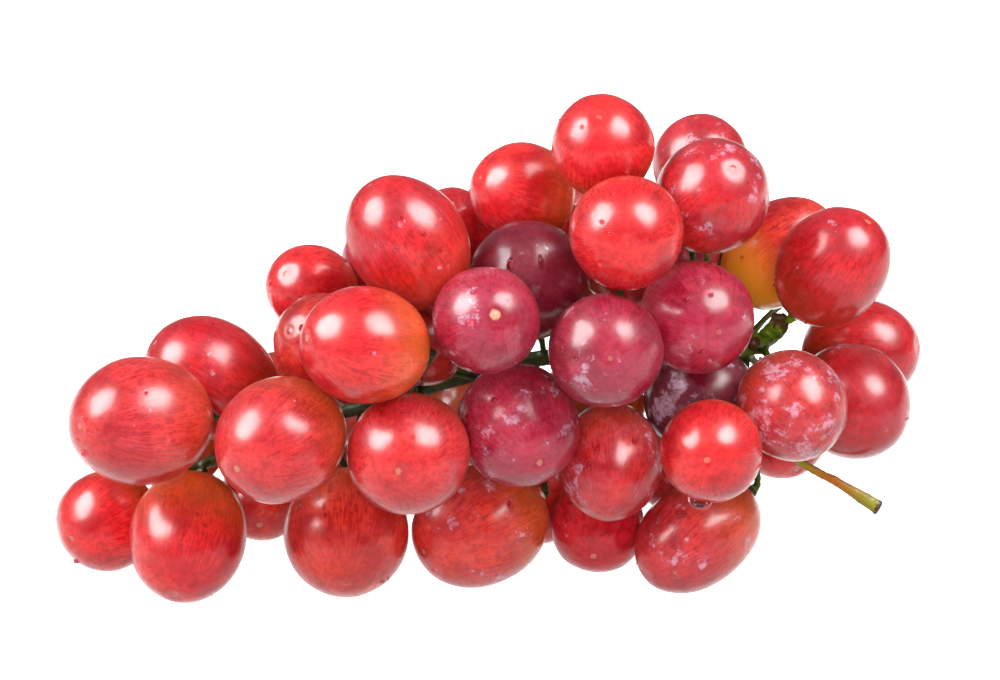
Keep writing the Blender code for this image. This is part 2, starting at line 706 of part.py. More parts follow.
def make_stem(bunch, core, material):
    """The whole stem as one solid: a tube for each stretch, a knuckle at each fork, all joined by one union."""
    main_stem, twigs, feet = grow_tree(bunch, core)
    smooth_tree(bunch, twigs)
    radii = foot_radii(bunch, feet)
    on_main = set(map(id, main_stem))
    pieces = bpy.data.collections.new("stem pieces")
    bpy.context.scene.collection.children.link(pieces)
    for twig in twigs:
        starts = id(twig) not in on_main and (id(twig.parent) in on_main or len(twig.parent.children) > 1)
        if not starts:
            continue
        root_radius = min(twig_radius(twig), twig_radius(twig.parent))
        line, widths = [twig.parent.point, twig.point], [root_radius, radii.get(id(twig), twig_radius(twig))]
        while len(twig.children) == 1:
            twig = twig.children[0]
            line.append(twig.point)
            widths.append(radii.get(id(twig), twig_radius(twig)))
        add_solid("branch", tube(*thinned(line, widths), STEM_SIDES), pieces)
        if len(twig.children) > 1:
            shape = bmesh.new()
            radius = twig_radius(twig)
            size = min(radius * 1.3, radius + 0.3) * MM
            spot = Matrix.Translation(Vector((twig.point * MM).tolist()))
            bmesh.ops.create_icosphere(shape, subdivisions=1, radius=size, matrix=spot)
            add_solid("knuckle", shape, pieces)
    broken = [place(*knot) for knot in BROKEN_BRANCH]
    add_solid("broken branch", tube(broken, BROKEN_RADII, STEM_SIDES), pieces)
    spots = [twig.point for twig in main_stem][::-1]
    widths = [main_stem_radius(i / (len(spots) - 1)) for i in range(len(spots))]
    stem = add_solid("stem", tube(*thinned(spots, widths), MAIN_STEM_SIDES), bpy.context.scene.collection)
    join = stem.modifiers.new("union", "BOOLEAN")
    join.operation = "UNION"
    join.operand_type = "COLLECTION"
    join.collection = pieces
    join.solver = "MANIFOLD"
    joined = bpy.data.meshes.new_from_object(stem.evaluated_get(bpy.context.evaluated_depsgraph_get()))
    stem.modifiers.clear()
    stem.data = joined
    joined.name = "stem"
    for piece in list(pieces.objects):
        bpy.data.objects.remove(piece, do_unlink=True)
    bpy.data.collections.remove(pieces)
    joined.materials.clear()
    joined.materials.append(material)
    joined.shade_smooth()
    joined.set_sharp_from_angle(angle=math.radians(50))
    return stem


def make_grape(name, bunch, index, material):
    """One grape, with a small flat spot cut where it rests on the surface. Its origin is its centre, and its own Z
    is its axis, from stem end to blossom end."""
    turn = Matrix(grape_frame(bunch.axis[index]).T.tolist()).to_4x4()
    spot = Matrix.Translation(Vector((bunch.centre[index] * MM).tolist())) @ turn
    wide_half, long_half = bunch.wide_half[index] * MM, bunch.long_half[index] * MM
    shape = bmesh.new()
    bmesh.ops.create_uvsphere(shape, u_segments=GRAPE_SIDES, v_segments=GRAPE_RINGS, radius=1.0)
    bmesh.ops.scale(shape, vec=(wide_half, wide_half, long_half), verts=shape.verts)
    if min((spot @ vert.co).z for vert in shape.verts) < 0:
        whole = shape.verts[:] + shape.edges[:] + shape.faces[:]
        surface_point = spot.inverted() @ Vector((0, 0, 0))
        surface_normal = turn.inverted() @ Vector((0, 0, -1))
        cut = bmesh.ops.bisect_plane(
            shape, geom=whole, dist=1e-7, plane_co=surface_point, plane_no=surface_normal, clear_outer=True
        )
        rim = [item for item in cut["geom_cut"] if isinstance(item, bmesh.types.BMEdge)]
        bmesh.ops.contextual_create(shape, geom=rim)
    grape = add_solid(name, shape, bpy.context.scene.collection)
    grape.matrix_world = spot
    grape.data.materials.append(material)
    grape.data.shade_smooth()
    grape.data.set_sharp_from_angle(angle=math.radians(50))
    return grape


def middle_of(objects):
    """The middle of the objects' box in plan, in metres."""
    corners = [thing.matrix_world @ vert.co for thing in objects for vert in thing.data.vertices]
    low = [min(corner[axis] for corner in corners) for axis in range(2)]
    high = [max(corner[axis] for corner in corners) for axis in range(2)]
    return [(a + b) / 2 for a, b in zip(low, high)]


def main():
    clear_scene()
    rng = random.Random(SEED)
    materials = {name: make_material(name, GRAPE_ROUGHNESS) for name in COLOURS if name != "stem"}
    core = main_stem_points()
    core_radius = np.array([main_stem_radius(i / (len(core) - 1)) for i in range(len(core))])
    bunch = Bunch()
    add_shown_grapes(bunch)
    settle(bunch, core, core_radius)
    add_hidden_grapes(bunch, core, core_radius, rng)
    free_feet(bunch, rng)
    pieces = [make_stem(bunch, core, make_material("stem", STEM_ROUGHNESS))]
    for index in range(len(bunch.centre)):
        pieces.append(make_grape(f"grape_{index + 1:02d}", bunch, index, materials[bunch.colour[index]]))
    whole = bpy.data.objects.new("bunch_of_grapes", None)
    bpy.context.scene.collection.objects.link(whole)
    for piece in pieces:
        piece.parent = whole
    bpy.context.view_layer.update()
    middle = middle_of(pieces)
    whole.location = (-middle[0], -middle[1], 0)


if __name__ == "__main__":
    main()
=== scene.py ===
import json
import math
import random
from collections import namedtuple
from functools import partial

import bmesh
import bpy
import numpy as np
from bpy.props import FloatProperty, FloatVectorProperty, IntProperty, PointerProperty
from mathutils import Matrix, Vector, noise


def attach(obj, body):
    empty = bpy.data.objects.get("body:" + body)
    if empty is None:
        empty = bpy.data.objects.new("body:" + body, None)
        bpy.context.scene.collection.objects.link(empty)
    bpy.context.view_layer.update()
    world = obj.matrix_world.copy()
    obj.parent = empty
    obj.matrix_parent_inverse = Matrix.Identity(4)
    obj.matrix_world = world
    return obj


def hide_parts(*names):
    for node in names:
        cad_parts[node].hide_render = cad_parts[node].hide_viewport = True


bl_info = {
    "name": "Bunch of Grapes",
    "version": (1, 0, 0),
    "blender": (4, 5, 0),
    "location": "3D View > Sidebar > Grapes",
    "description": "Dresses a bunch of red table grapes: skins, stem, water drops and a white studio",
    "category": "Object",
}

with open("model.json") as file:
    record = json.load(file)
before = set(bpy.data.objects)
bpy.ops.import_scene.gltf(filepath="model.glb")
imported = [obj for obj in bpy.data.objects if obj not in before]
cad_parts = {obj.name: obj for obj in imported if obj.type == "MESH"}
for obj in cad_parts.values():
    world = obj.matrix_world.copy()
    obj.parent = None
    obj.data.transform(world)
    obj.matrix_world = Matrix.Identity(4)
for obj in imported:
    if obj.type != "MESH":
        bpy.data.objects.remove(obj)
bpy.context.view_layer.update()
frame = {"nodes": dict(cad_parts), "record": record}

MM = 0.001

# The photograph's view: the bunch's middle as the lens aims at it, the lift of the line of sight above the
# horizontal, the distance, and how many pixels a millimetre there takes in a picture 1000 pixels wide.
PICTURE_WIDTH, PICTURE_HEIGHT = 1000, 680
PIXELS_PER_MM = 4.6
SENSOR_WIDTH = 36.0
SIGHT_LIFT = math.radians(18)
SIGHT_REACH = 0.750
AIM = Vector((0.001580, -0.005289, 0.0515))

SIGHT = Vector((0, math.cos(SIGHT_LIFT), -math.sin(SIGHT_LIFT)))
SIGHT_UP = Vector((0, math.sin(SIGHT_LIFT), math.cos(SIGHT_LIFT)))
SIGHT_RIGHT = Vector((1, 0, 0))
EYE = AIM - SIGHT * SIGHT_REACH


def at_pixel(x, y, behind=0.0):
    """The point that shows at a pixel of the photograph, this far behind the bunch's middle, in metres."""
    across = (x - PICTURE_WIDTH / 2) / PIXELS_PER_MM * MM
    up = (PICTURE_HEIGHT / 2 - y) / PIXELS_PER_MM * MM
    return AIM + (SIGHT_RIGHT * across + SIGHT_UP * up) * (1 + behind / SIGHT_REACH) + SIGHT * behind


# Settings

def linear(code):
    """An sRGB hex colour, such as #C2281E, as the linear colour that Blender's sockets take."""
    values = [int(code[i : i + 2], 16) / 255 for i in (1, 3, 5)]
    return tuple(v / 12.92 if v <= 0.04045 else ((v + 0.055) / 1.055) ** 2.4 for v in values)


def colour(label, description, code):
    return FloatVectorProperty(
        name=label, description=description, subtype="COLOR", size=3, min=0, max=1, default=linear(code)
    )


def length(label, description, metres):
    return FloatProperty(
        name=label, description=description, subtype="DISTANCE", unit="LENGTH", default=metres
    )


def quantity(label, description, value, unit="NONE"):
    return FloatProperty(name=label, description=description, unit=unit, default=value)


class GrapeSettings(bpy.types.PropertyGroup):
    around: IntProperty(name="Columns", description="Faces round each grape", default=80)
    rows: IntProperty(name="Rows", description="Faces from stem end to blossom end", default=50)
    unevenness: length("Unevenness", "How far the skin swells and sinks", 0.00030)
    scar_radius: length("Scar radius", "Radius of the scar at the blossom end", 0.0009)
    scar_depth: length("Scar depth", "Depth of the dimple that holds the scar", 0.00035)
    stem_dimple_radius: length("Stem dimple", "Radius of the hollow round the stem's foot", 0.0030)
    stem_dimple_depth: length("Stem dimple depth", "Depth of that hollow", 0.00045)
    streak_width: length("Streak width", "Spacing of the fine streaks round a grape", 0.00045)
    streak_length: length("Streak length", "Length of a streak from end to end", 0.0032)
    scarlet: colour("Scarlet", "Skin of the bright red grapes", "#DC2026")
    rose: colour("Rose", "Skin of the pink-red grapes", "#D02A2E")
    crimson: colour("Crimson", "Skin of the dark red grapes", "#CE0F22")
    plum: colour("Plum", "Skin of the purple grapes", "#B01B3F")
    amber: colour("Amber", "Skin of the orange-red grapes", "#D83428")
    # Partly painted light: the paler flesh colour at the stem end, made bright orange as a painted glow of
    # light through the skin
    flesh: colour("Flesh", "Yellow-orange that glows through thin skin at the stem end", "#FFA528")
    bloom: colour("Bloom", "Whitish wax on the skin", "#DCC8E0")
    scar: colour("Scar", "Dry skin of the blossom scar", "#D9A080")


class StemSettings(bpy.types.PropertyGroup):
    grain: length("Grain", "Edge of the small faces that the stem is drawn with", 0.00040)
    wart: length("Warts", "Height of the bumps on the stem", 0.00020)
    knot_wart: length("Knot warts", "Height of the bumps on the knot where the main stem ends", 0.0008)
    stalk_skin: length("Stalk skin", "How far the bare stalk is filled out again after rounding", 0.00020)
    green: colour("Green", "Fresh stem", "#7C9A22")
    dark_green: colour("Dark green", "Darker patches of the fresh stem", "#24420E")
    # Painted shade: near-black laid on the stem deep in the bunch, where the grapes around it shade it
    heart_shade_colour: colour("Shaded", "Old stem in the heart of the bunch", "#1E1A0A")
    brown: colour("Brown", "Dry and broken ends", "#4A2A16")
    orange: colour("Orange", "The bare stalk's middle", "#B0661C")
    olive: colour("Olive", "The bare stalk's root and flare", "#A0962C")


class DropSettings(bpy.types.PropertyGroup):
    smallest: length("Smallest", "Radius of the smallest drops", 0.00020)
    largest: length("Largest", "Radius of the largest of the scattered drops", 0.00055)
    count: IntProperty(name="Drops a grape", description="Scattered drops tried on each grape", default=9)
    height: quantity("Height", "Height of a drop as a share of its radius", 0.85)
    # Painted shade: a tint that darkens and reddens the clear water, in place of the dark rims a drop shows
    shade_tint: colour("Tint", "Colour that the skin gives the light in a drop", "#C88E98")


class StageSettings(bpy.types.PropertyGroup):
    floor: colour("Floor", "Colour of the floor", "#FFFFFF")
    glow: quantity("Floor glow", "Brightness of the lit white floor", 0.9)
    sky: quantity("Surrounding light", "Strength of the white surroundings", 0.20)
    fill: quantity("Fill light", "Power of each of the two soft lights", 7.3, unit="POWER")
    rear: quantity("Rear light", "Power of the wide rear light", 8.0, unit="POWER")
    front: quantity("Front light", "Power of the front light", 7.0, unit="POWER")
    gleam: quantity("Gleam", "Power that the left softbox adds to the gloss alone", 66.0, unit="POWER")


# Grapes

# A grape as an ellipsoid: its middle, its half sizes (across, across, along), and the unit vectors of those
# three ways as the rows of a matrix. The last way runs from the stem end to the blossom end.
Grape = namedtuple("Grape", "name centre sizes rows")

# The corners of a grape's flat spot lie below this height and aren't on its ellipsoid
FLAT_SPOT_TOP = 0.0003
# About a grape's radius, in which the ellipsoid is fitted so that its numbers are near 1
FIT_UNIT = 0.01


def node_points(name):
    """The corners of a node's mesh, each once, in metres."""
    mesh = frame["nodes"][name].data
    points = np.empty(len(mesh.vertices) * 3)
    mesh.vertices.foreach_get("co", points)
    return np.unique(points.reshape(-1, 3).round(7), axis=0)


def nearest_distance(points, spot):
    """How far a spot is from the nearest of these points."""
    return np.linalg.norm(points - np.array(spot), axis=1).min()


def fit_grape(name, stem_points):
    """The ellipsoid of revolution that goes through a grape's corners."""
    points = node_points(name)
    points = points[points[:, 2] > FLAT_SPOT_TOP]
    middle = points.mean(axis=0)
    x, y, z = ((points - middle) / FIT_UNIT).T
    terms = np.column_stack([x * x, y * y, z * z, 2 * x * y, 2 * x * z, 2 * y * z, x, y, z])
    a, b, c, d, e, f, g, h, i = np.linalg.lstsq(terms, np.ones(len(points)), rcond=None)[0]
    shape = np.array([[a, d, e], [d, b, f], [e, f, c]])
    offset = np.linalg.solve(shape, -0.5 * np.array([g, h, i]))
    values, ways = np.linalg.eigh(shape / (1 + offset @ shape @ offset))
    centre = middle + offset * FIT_UNIT
    long_half = FIT_UNIT / math.sqrt(values[0])
    wide_half = FIT_UNIT / math.sqrt((values[1] + values[2]) / 2)
    axis = ways[:, 0]
    reach = axis * long_half
    if nearest_distance(stem_points, centre + reach) < nearest_distance(stem_points, centre - reach):
        axis = -axis
    across = np.cross(axis, [0, 0, 1.0] if abs(axis[2]) < 0.9 else [1.0, 0, 0])
    across /= np.linalg.norm(across)
    rows = np.array([across, np.cross(axis, across), axis])
    return Grape(name, centre, np.array([wide_half, wide_half, long_half]), rows)


def all_grapes():
    stem_points = node_points("stem")
    names = sorted(name for name in frame["nodes"] if name.startswith("grape_"))
    return {name: fit_grape(name, stem_points) for name in names}


# How much bloom, darkness and yellow flesh, brightened as painted glow, a grape shows, from 0 to 1: the usual
# for each colour of skin, and the grapes that differ
Look = namedtuple("Look", "bloom dark flesh")
USUAL_LOOKS = {
    "scarlet": Look(0.12, 0.0, 0.25),
    "rose": Look(0.22, 0.0, 0.25),
    "crimson": Look(0.30, 0.10, 0.08),
    "plum": Look(0.60, 0.10, 0.0),
    "amber": Look(0.12, 0.0, 0.28),
}
LOOKS = {
    "grape_01": Look(0.30, 0.06, 0.10),
    "grape_10": Look(0.12, 0.32, 0.45),
    "grape_12": Look(0.55, 0.22, 0.0),
    "grape_13": Look(0.70, 0.0, 0.0),
    "grape_17": Look(0.25, 0.74, 0.0),
    "grape_18": Look(0.65, 0.15, 0.1),
    "grape_19": Look(0.60, 0.15, 0.05),
    "grape_20": Look(0.50, 0.0, 0.1),
    # grape_21's stem end takes the most flesh colour and painted glow, which brightens it where it lies in
    # shade
    "grape_21": Look(0.15, 0.0, 1.0),
    "grape_24": Look(0.45, 0.34, 0.05),
    "grape_25": Look(0.90, 0.20, 0.1),
    "grape_27": Look(0.95, 0.80, 0.0),
    "grape_28": Look(0.75, 0.10, 0.1),
    "grape_29": Look(0.60, 0.10, 0.2),
    "grape_31": Look(0.60, 0.06, 0.22),
    "grape_32": Look(0.20, 0.06, 0.12),
    "grape_38": Look(0.05, 0.60, 0.2),
}

# How plain the scar at the blossom end is on some grapes, and the least and most of the others
SCARS = {
    "grape_01": 0.35,
    "grape_05": 0.5,
    "grape_11": 1.0,
    "grape_13": 0.5,
    "grape_20": 0.25,
    "grape_26": 0.4,
}
FAINT_SCAR, PLAIN_SCAR = 0.1, 0.5

# How much closer together the rings of faces lie at a grape's ends
RING_CROWDING = 0.3
# The skin's swells: how many to a grape's radius, broad and fine, and the fine ones' share of the height
BROAD_SWELLS, FINE_SWELLS, FINE_SHARE = 1.2, 3.5, 0.3
# The dimple at the blossom end and the low button in it, in scar radii, and the button's share of the depth
DIMPLE_WIDTH, BUTTON_WIDTH, BUTTON_SHARE = 5 / 3, 5 / 9, 0.6
# Each grape's part of the patterns starts somewhere within this many millimetres
PATTERN_SHIFT = 500
FIRST_GRAPE_SEED = 100


def slot_of(name):
    """The record's material slot for a node."""
    return next(row["material_slot"] for row in frame["record"]["subparts"] if row["node"] == name)


def link(name, mesh):
    piece = bpy.data.objects.new(name, mesh)
    bpy.context.scene.collection.objects.link(piece)
    return piece


def bell(distance, width):
    """1 at no distance, and smoothly less over this width."""
    return math.exp(-((distance / width) ** 2))


def swell_at(way, spread, shift, settings):
    """How far the skin stands out, for a way from the grape's middle and a distance from its axis."""
    swell = noise.noise(way * BROAD_SWELLS + shift) * settings.unevenness
    swell += noise.noise(way * FINE_SWELLS + shift) * settings.unevenness * FINE_SHARE
    if way.z <= 0:
        return swell - settings.stem_dimple_depth * bell(spread, settings.stem_dimple_radius)
    dimple = bell(spread, settings.scar_radius * DIMPLE_WIDTH)
    button = bell(spread, settings.scar_radius * BUTTON_WIDTH)
    return swell - settings.scar_depth * (dimple - BUTTON_SHARE * button)


def make_grape(grape, settings, skins, rng):
    """One grape as a fine mesh: an uneven ellipsoid with a scar at one end and a hollow for its foot at the
    other. Its rings lie closer together near the ends, where that detail is."""
    shape = bmesh.new()
    bmesh.ops.create_uvsphere(shape, u_segments=settings.around, v_segments=settings.rows, radius=1.0)
    spots = shape.verts.layers.float_vector.new("place")
    seeds = shape.verts.layers.float_vector.new("seed")
    streaks = shape.verts.layers.float_vector.new("streaks")
    looks = shape.verts.layers.float_vector.new("looks")
    along = shape.verts.layers.float.new("along")
    scars = shape.verts.layers.float.new("scar")
    slot = slot_of(grape.name)
    skin_name = slot.removeprefix("skin_")
    look = LOOKS.get(grape.name, USUAL_LOOKS[skin_name])
    shift = Vector([rng.uniform(-PATTERN_SHIFT, PATTERN_SHIFT) for _ in range(3)])
    scar = SCARS.get(grape.name, rng.uniform(FAINT_SCAR, PLAIN_SCAR))
    wide_half, _, long_half = grape.sizes
    round_streaks = wide_half / settings.streak_width
    along_streaks = long_half / settings.streak_length
    for vert in shape.verts:
        flat = math.hypot(vert.co.x, vert.co.y)
        turn = Vector((vert.co.x, vert.co.y, 0)) / max(flat, 1e-6)
        lean = math.atan2(flat, vert.co.z)
        lean -= RING_CROWDING * math.sin(2 * lean)
        flat = math.sin(lean)
        way = turn * flat + Vector((0, 0, math.cos(lean)))
        swell = swell_at(way, flat * wide_half, shift, settings)
        local = Vector(np.array(way) * grape.sizes) + way * swell
        vert[spots] = local / MM
        vert[seeds] = shift
        streak = Vector((turn.x * round_streaks, turn.y * round_streaks, way.z * along_streaks))
        vert[streaks] = streak + shift
        vert[looks] = Vector(look)
        vert[along] = way.z * 0.5 + 0.5
        vert[scars] = scar
        vert.co = Vector(grape.centre) + Vector(grape.rows.T @ np.array(local))
        vert.co.z = max(vert.co.z, 0.0)
    for face in shape.faces:
        face.smooth = True
    mesh = bpy.data.meshes.new(f"{grape.name}_skin")
    shape.to_mesh(mesh)
    shape.free()
    mesh.materials.append(skins[skin_name])
    piece = link(f"{grape.name}_skin", mesh)
    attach(piece, "root")
    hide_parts(grape.name)


# Materials

# The sockets of a Mix node that mixes colours, which share their names with its other sockets
MIX_SHARE, MIX_UNDER, MIX_OVER, MIX_RESULT = 0, 6, 7, 2
SMOOTH = {"interpolation_type": "SMOOTHSTEP"}

# How many spots each pattern has to a millimetre: on the skin mottles of 1.2 mm, broad patches of 8 mm and
# patches of bloom of 6 mm, on the bark patches of 4 mm and specks of 0.8 mm
MOTTLES, BROAD_PATCHES, BLOOM_PATCHES = 0.85, 0.12, 0.16
BARK_PATCHES, BARK_SPECKS = 0.26, 1.3

# The tones of the skin: the shares that each keeps of its colour's red, green and blue, and what is added
Tone = namedtuple("Tone", "kept added", defaults=((0.0, 0.0, 0.0),))
PALE = Tone((0.80, 0.80, 0.80), (0.18, 0.020, 0.028))
BRIGHT = Tone((1.15, 1.15, 1.15), (0.05, 0.010, 0.002))
DEEP = Tone((0.60, 0.05, 0.26))
NIGHT = Tone((0.10, 0.10, 0.10))
# How much of the bloom's colour and of the skin's under it show where the wax is thick
WAX_SHARE, SKIN_SHARE = 0.8, 0.3


def set_sockets(node, sockets):
    """Gives sockets a value or a link: from an output, or from a node's first one. They are named or numbered
    in a dictionary, or are the first ones in order."""
    for name, value in (sockets if isinstance(sockets, dict) else dict(enumerate(sockets))).items():
        source = value.outputs[0] if isinstance(value, bpy.types.Node) else value
        if isinstance(source, bpy.types.NodeSocket):
            node.id_data.links.new(source, node.inputs[name])
        else:
            node.inputs[name].default_value = source


def add_node(material, kind, sockets=(), **settings):
    """Adds a node, sets its properties and fills its sockets."""
    made = material.node_tree.nodes.new(kind)
    for name, value in settings.items():
        setattr(made, name, value)
    set_sockets(made, sockets)
    return made


def new_material(name):
    material = bpy.data.materials.new(name)
    material.use_nodes = True
    return material, material.node_tree.nodes["Principled BSDF"]


def rgba(value):
    return (*value, 1.0)


def toned(base, tone):
    """A tone of a colour, with its alpha."""
    return rgba(min(1.0, part * kept + added) for part, kept, added in zip(base, *tone))


def grape_skin(name, base, settings):
    """Ripe grape skin: thin, waxy and wet. The streaks run from end to end, and the light goes a little way
    in, so that the grape looks full of juice."""
    material, shader = new_material(f"grape skin {name}")
    add = partial(add_node, material)
    place, seed, streaks, looks = (
        add("ShaderNodeAttribute", attribute_name=label).outputs["Vector"]
        for label in ("place", "seed", "streaks", "looks")
    )
    along, plain = (
        add("ShaderNodeAttribute", attribute_name=label).outputs["Fac"] for label in ("along", "scar")
    )
    bloom, dark, flesh = add("ShaderNodeSeparateXYZ", (looks,)).outputs
    spots = add("ShaderNodeVectorMath", (place, seed), operation="ADD")
    fine, mottle, broad, cloud = (
        add("ShaderNodeTexNoise", {"Vector": where, "Scale": scale, "Detail": detail, "Roughness": rough})
        for where, scale, detail, rough in (
            (streaks, 1.0, 3.0, 0.6),
            (spots, MOTTLES, 4.0, 0.65),
            (spots, BROAD_PATCHES, 3.0, 0.55),
            (spots, BLOOM_PATCHES, 8.0, 0.66),
        )
    )
    bright_patch, deep_patch, pale_patch = add("ShaderNodeSeparateColor", (broad.outputs["Color"],)).outputs

    # The mottles give way to streaks away from the blossom end
    streaky = add("ShaderNodeMapRange", (along, 0.98, 0.84, 0.15, 0.55), **SMOOTH)
    grain = add("ShaderNodeMath", (fine, mottle), operation="SUBTRACT")
    grain = add("ShaderNodeMath", (grain, streaky, mottle), operation="MULTIPLY_ADD")
    depth = add("ShaderNodeMapRange", (along, 0.98, 0.80, 0.50, 0.85), **SMOOTH)
    brights = add("ShaderNodeMapRange", (bright_patch, 0.42, 0.58, 0.0, 1.0), **SMOOTH)
    deeps = add("ShaderNodeMapRange", (deep_patch, 0.48, 0.66, 0.0, 0.75), **SMOOTH)
    dark_grain = add("ShaderNodeMapRange", (grain, 0.44, 0.61, 0.0, depth), **SMOOTH)
    pale_grain = add("ShaderNodeMapRange", (grain, 0.49, 0.40, 0.0, 0.26), **SMOOTH)
    pales = add("ShaderNodeMapRange", (pale_patch, 0.44, 0.76, 0.0, 0.26), **SMOOTH)
    # The paler flesh at the stem end, brightened as a painted glow of light through the skin
    stem_end = add("ShaderNodeMapRange", (along, 0.70, 0.15, 0.0, flesh), **SMOOTH)
    darkness = add("ShaderNodeMath", (dark, 0.85), operation="MULTIPLY")

    # Wax: a thin haze, and patches with crisp edges where it hasn't been rubbed off
    most_haze = add("ShaderNodeMath", (bloom, 0.09), operation="MULTIPLY")
    haze = add("ShaderNodeMapRange", (cloud, 0.36, 0.62, 0.0, most_haze), **SMOOTH)
    edge = add("ShaderNodeMath", (bloom, -0.20, 0.70), operation="MULTIPLY_ADD")
    inner_edge = add("ShaderNodeMath", (edge, 0.07), operation="ADD")
    thickness = add("ShaderNodeMapRange", (mottle, 0.38, 0.58, 0.20, 0.62), **SMOOTH)
    crisp = add("ShaderNodeMapRange", (cloud, edge, inner_edge, 0.0, thickness), **SMOOTH)
    wax = add("ShaderNodeMath", (haze, crisp), operation="MAXIMUM")
    wax_colour = rgba(white * WAX_SHARE + red * SKIN_SHARE for white, red in zip(settings.bloom, base))

    # The scar: a dry button in a darker ring, both ragged, and wider where the scar is plain
    radius = settings.scar_radius / MM
    from_axis = add("ShaderNodeVectorMath", (place, (1.0, 1.0, 0.0)), operation="MULTIPLY")
    from_axis = add("ShaderNodeVectorMath", (from_axis,), operation="LENGTH").outputs["Value"]
    ragged = add("ShaderNodeMath", (mottle, 0.5), operation="SUBTRACT")
    from_pole = add("ShaderNodeMath", (from_axis, ragged), operation="ADD")
    widening = add("ShaderNodeMath", (plain, 1.1, 0.5), operation="MULTIPLY_ADD")
    from_pole = add("ShaderNodeMath", (from_pole, widening), operation="DIVIDE")
    most_scar = add("ShaderNodeMapRange", (along, 0.90, 0.95, 0.0, plain), **SMOOTH)
    most_ring = add("ShaderNodeMath", (most_scar, 0.5), operation="MULTIPLY")
    ring = add("ShaderNodeMapRange", (from_pole, radius * 1.9, radius * 0.9, 0.0, most_ring), **SMOOTH)
    button = add("ShaderNodeMapRange", (from_pole, radius * 0.9, radius * 0.6, 0.0, most_scar), **SMOOTH)

    layers = (
        (brights, toned(base, BRIGHT)),
        (deeps, toned(base, DEEP)),
        (dark_grain, toned(base, DEEP)),
        (pale_grain, toned(base, PALE)),
        (pales, toned(base, PALE)),
        (stem_end, rgba(settings.flesh)),
        (darkness, toned(base, NIGHT)),
        (wax, wax_colour),
        (ring, toned(base, DEEP)),
        (button, rgba(settings.scar)),
    )
    skin = rgba(base)
    for share, over in layers:
        mixed = add("ShaderNodeMix", {MIX_SHARE: share, MIX_UNDER: skin, MIX_OVER: over}, data_type="RGBA")
        skin = mixed.outputs[MIX_RESULT]

    set_sockets(shader, {
        "Base Color": skin,
        "Roughness": add("ShaderNodeMapRange", (wax, 0.0, 1.0, 0.20, 0.36)),
        "Normal": add("ShaderNodeBump", {"Height": grain, "Strength": 0.14, "Distance": 0.0002}),
        "IOR": 1.45,
        "Specular IOR Level": 0.25,
        "Subsurface Weight": 0.25,
        "Subsurface Radius": (1.0, 0.25, 0.15),
        "Subsurface Scale": 0.003,
        "Coat Weight": 0.32,
        "Coat Roughness": 0.42,
        "Coat IOR": 1.35,
    })
    return material


class GRAPES_OT_grapes(bpy.types.Operator):
    """Makes every grape as a fine mesh with its skin"""

    bl_idname = "grapes.grapes"
    bl_label = "Grapes"

    def execute(self, context):
        settings = context.scene.grape_settings
        skins = {name: grape_skin(name, tuple(getattr(settings, name)), settings) for name in USUAL_LOOKS}
        for number, grape in enumerate(all_grapes().values()):
            make_grape(grape, settings, skins, random.Random(FIRST_GRAPE_SEED + number))
        return {"FINISHED"}


# Stem

# The knot and its two broken tips, then the bare stalk from root to end
KNOT = at_pixel(768, 342, 0.010)
BROKEN_TIPS = (at_pixel(783, 316, 0.007), at_pixel(752, 347, 0.0))
STALK_ROOT, STALK_END = at_pixel(799, 461, 0.003), at_pixel(880, 508, -0.001)

# How far the big warts and the unshaded green reach from the knot, the dry brown from a broken tip, and the
# bare stalk's skin from its line. Past the green's reach the painted shade of the bunch's heart takes over.
KNOT_REACH, GREEN_REACH, DRY_REACH, STALK_REACH = 0.009, 0.020, 0.0035, 0.005
# The bumps of the bark: how many to a metre, and their share of the warts' height. Then those of the knot.
WARTS = ((900, 0.6), (300, 0.7))
KNOT_WARTS = 520
# Places along the bare stalk, from 0 at its root to 1 at its end: where it begins, the middle and half width
# of the orange stretch, and where the dry end begins and how long it takes to be full
STALK_START, ORANGE_MIDDLE, ORANGE_WIDTH, DRY_START, DRY_FADE = -0.1, 0.42, 0.32, 0.93, 0.05
# The most of the painted shade in the heart of the bunch, of the olive on the stalk, and of dryness there
MOST_SHADED, MOST_OLIVE, MOST_DRY = 0.85, 0.7, 0.7


def stem_bark(settings):
    """Living bark of a young vine shoot: satin green, warty, brown and dull where it has broken and dried.
    Deep in the bunch it is painted near-black as shade.
    """
    material, shader = new_material("stem bark")
    add = partial(add_node, material)
    place = add("ShaderNodeTexCoord").outputs["Object"]
    dry, bare, heart, stalk = (
        add("ShaderNodeAttribute", attribute_name=label).outputs["Fac"]
        for label in ("dry", "bare", "heart", "stalk")
    )
    shade, specks = (
        add("ShaderNodeTexNoise", {"Vector": place, "Scale": scale / MM, "Detail": detail, "Roughness": 0.6})
        for scale, detail in ((BARK_PATCHES, 4.0), (BARK_SPECKS, 3.0))
    )
    ragged = add("ShaderNodeMath", (specks, 0.5), operation="SUBTRACT")
    ragged = add("ShaderNodeMath", (ragged, dry), operation="ADD")
    layers = (
        (add("ShaderNodeMapRange", (shade, 0.36, 0.56)), settings.green),
        # Painted shade: near-black over the stem in the heart of the bunch, away from the knot
        (heart, settings.heart_shade_colour),
        (stalk, settings.olive),
        (bare, settings.orange),
        (add("ShaderNodeMapRange", (ragged, 0.30, 0.55)), settings.brown),
    )
    bark = rgba(settings.dark_green)
    for share, over in layers:
        sockets = {MIX_SHARE: share, MIX_UNDER: bark, MIX_OVER: rgba(over)}
        bark = add("ShaderNodeMix", sockets, data_type="RGBA").outputs[MIX_RESULT]
    set_sockets(shader, {
        "Base Color": bark,
        "Normal": add("ShaderNodeBump", {"Height": specks, "Strength": 0.4, "Distance": 0.0003}),
        "Roughness": 0.42,
        "Specular IOR Level": 0.20,
        "Subsurface Weight": 0.15,
        "Subsurface Radius": (0.6, 1.0, 0.2),
        "Subsurface Scale": 0.0008,
    })
    return material


